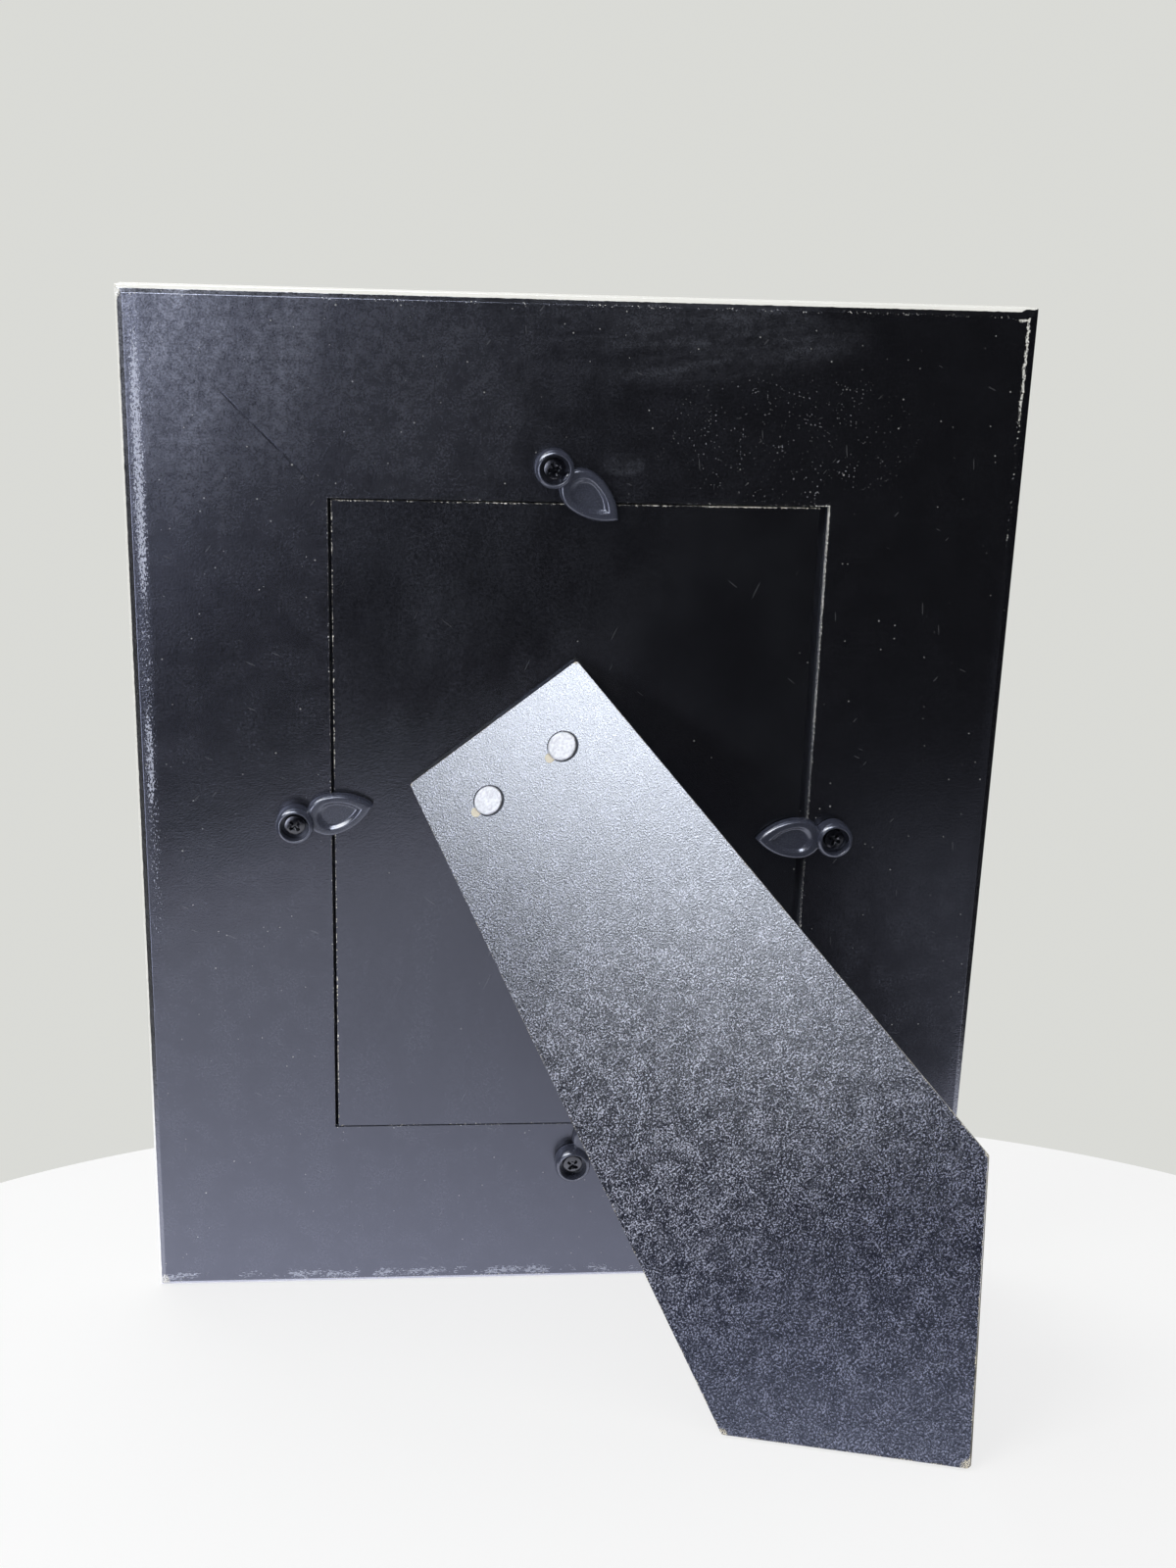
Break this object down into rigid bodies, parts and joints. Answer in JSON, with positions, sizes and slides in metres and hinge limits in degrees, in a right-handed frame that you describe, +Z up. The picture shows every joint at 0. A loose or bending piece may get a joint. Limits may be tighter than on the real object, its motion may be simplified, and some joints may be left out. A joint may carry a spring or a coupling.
{
  "type": "easel back photo frame",
  "caption": "Wide mitred photo frame for a 5 x 7 inch print, leaning on a hinged easel strut; turn buttons hold the backing board, print and glass in the rebate.",
  "frame": {"origin": "on the table, at the middle of the standing frame's bounding box (between the frame's front and the strut's foot)", "axes": "+Z up, front of the frame towards -Y, strut towards +Y; left and right in node names are as seen from the back, so left is +X"},
  "size_m": [0.2342, 0.1645, 0.2749],
  "materials": {
    "frame_paint": "wood fibre moulding, satin black paint on the back, white lacquer on the sides and front",
    "board_paint": "hardboard, satin black on the outside",
    "strut_paper": "solid board covered in pebble-grained black paper",
    "button_plastic": "dark grey moulded plastic, satin",
    "screw_steel": "blackened steel",
    "steel": "zinc-plated steel",
    "rivet_aluminium": "plain flat-headed aluminium",
    "glass": "clear float glass",
    "print_paper": null
  },
  "bodies": {
    "frame": {"rail_top": "frame_paint", "rail_bottom": "frame_paint", "rail_left": "frame_paint", "rail_right": "frame_paint", "mitre_nails": "steel", "glass_pane": "glass", "photo_print": "print_paper", "backing_board": "board_paint", "turn_button_screws": "screw_steel", "hinge_board_leaf": "steel", "hinge_pin": "steel", "board_rivets": "rivet_aluminium"},
    "strut": {"easel_strut": "strut_paper", "hinge_strut_leaf": "steel", "strut_rivets": "rivet_aluminium"},
    "button_top": {"turn_button_top": "button_plastic"},
    "button_bottom": {"turn_button_bottom": "button_plastic"},
    "button_left": {"turn_button_left": "button_plastic"},
    "button_right": {"turn_button_right": "button_plastic"}
  },
  "joints": [
    {"name": "strut_fold", "type": "hinge", "parent": "frame", "child": "strut", "pos_m": [0.0176, -0.02006, 0.15871], "axis": [-0.7869, 0.1721, 0.5925], "range_deg": [0, 41]},
    {"name": "button_top_swivel", "type": "hinge", "parent": "frame", "child": "button_top", "pos_m": [0.0075, -0.00143, 0.23036], "axis": [0, 0.9603, -0.279], "continuous": true},
    {"name": "button_bottom_swivel", "type": "hinge", "parent": "frame", "child": "button_bottom", "pos_m": [-0.0027, -0.05731, 0.03801], "axis": [0, 0.9603, -0.279], "continuous": true},
    {"name": "button_left_swivel", "type": "hinge", "parent": "frame", "child": "button_left", "pos_m": [0.0751, -0.02835, 0.13769], "axis": [0, 0.9603, -0.279], "continuous": true},
    {"name": "button_right_swivel", "type": "hinge", "parent": "frame", "child": "button_right", "pos_m": [-0.0726, -0.02947, 0.13384], "axis": [0, 0.9603, -0.279], "continuous": true}
  ]
}
